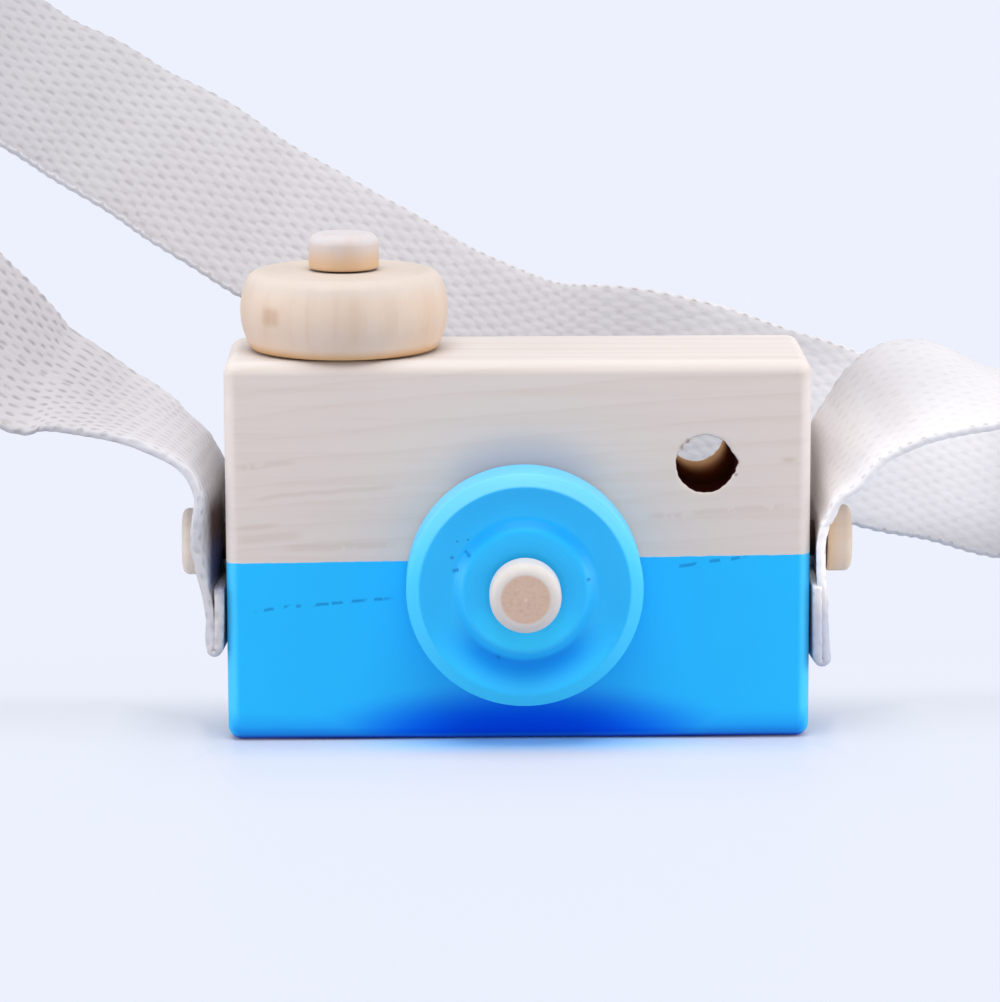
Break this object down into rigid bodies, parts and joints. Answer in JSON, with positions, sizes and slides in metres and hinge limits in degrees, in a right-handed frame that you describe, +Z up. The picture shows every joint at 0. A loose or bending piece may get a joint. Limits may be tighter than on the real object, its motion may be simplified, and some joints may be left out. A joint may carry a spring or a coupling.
{
  "type": "toy camera",
  "caption": "Wooden pretend-play camera: rounded pine block with painted lower half, turning lens wheel and top dial, through viewfinder hole and webbing neck strap.",
  "frame": {"origin": "centre of the block's base", "axes": "+Z up, +X along the block's width to the right of someone facing the lens, so the lens faces -Y"},
  "size_m": [0.275, 0.0867, 0.1271],
  "materials": {
    "block_wood": "sanded bare pine above the paint line, flat sky-blue paint below it",
    "blue_paint": "turned wood with flat sky-blue paint",
    "wheel_wood": "turned and sanded bare wood",
    "peg_wood": "turned and sanded bare wood",
    "webbing": "undyed heavy cotton webbing, plain weave",
    "tie_tape": "narrow cotton tape"
  },
  "bodies": {
    "root": {"body_block": "block_wood", "lens_peg": "peg_wood", "dial_peg": "peg_wood", "strap_peg_left": "peg_wood", "strap_peg_right": "peg_wood", "strap_end_left": "webbing", "strap_end_right": "webbing", "strap_run_left": "webbing", "strap_run_right": "webbing", "strap_roll": "webbing", "strap_tie": "tie_tape"},
    "lens": {"lens_wheel": "blue_paint"},
    "dial": {"dial_wheel": "wheel_wood"}
  },
  "joints": [
    {"name": "lens_spin", "type": "hinge", "parent": "root", "child": "lens", "pos_m": [0.0009, -0.0203, 0.0268], "axis": [0, -1, 0], "continuous": true},
    {"name": "dial_spin", "type": "hinge", "parent": "root", "child": "dial", "pos_m": [-0.0282, 0, 0.0692], "axis": [0, 0, 1], "continuous": true}
  ]
}
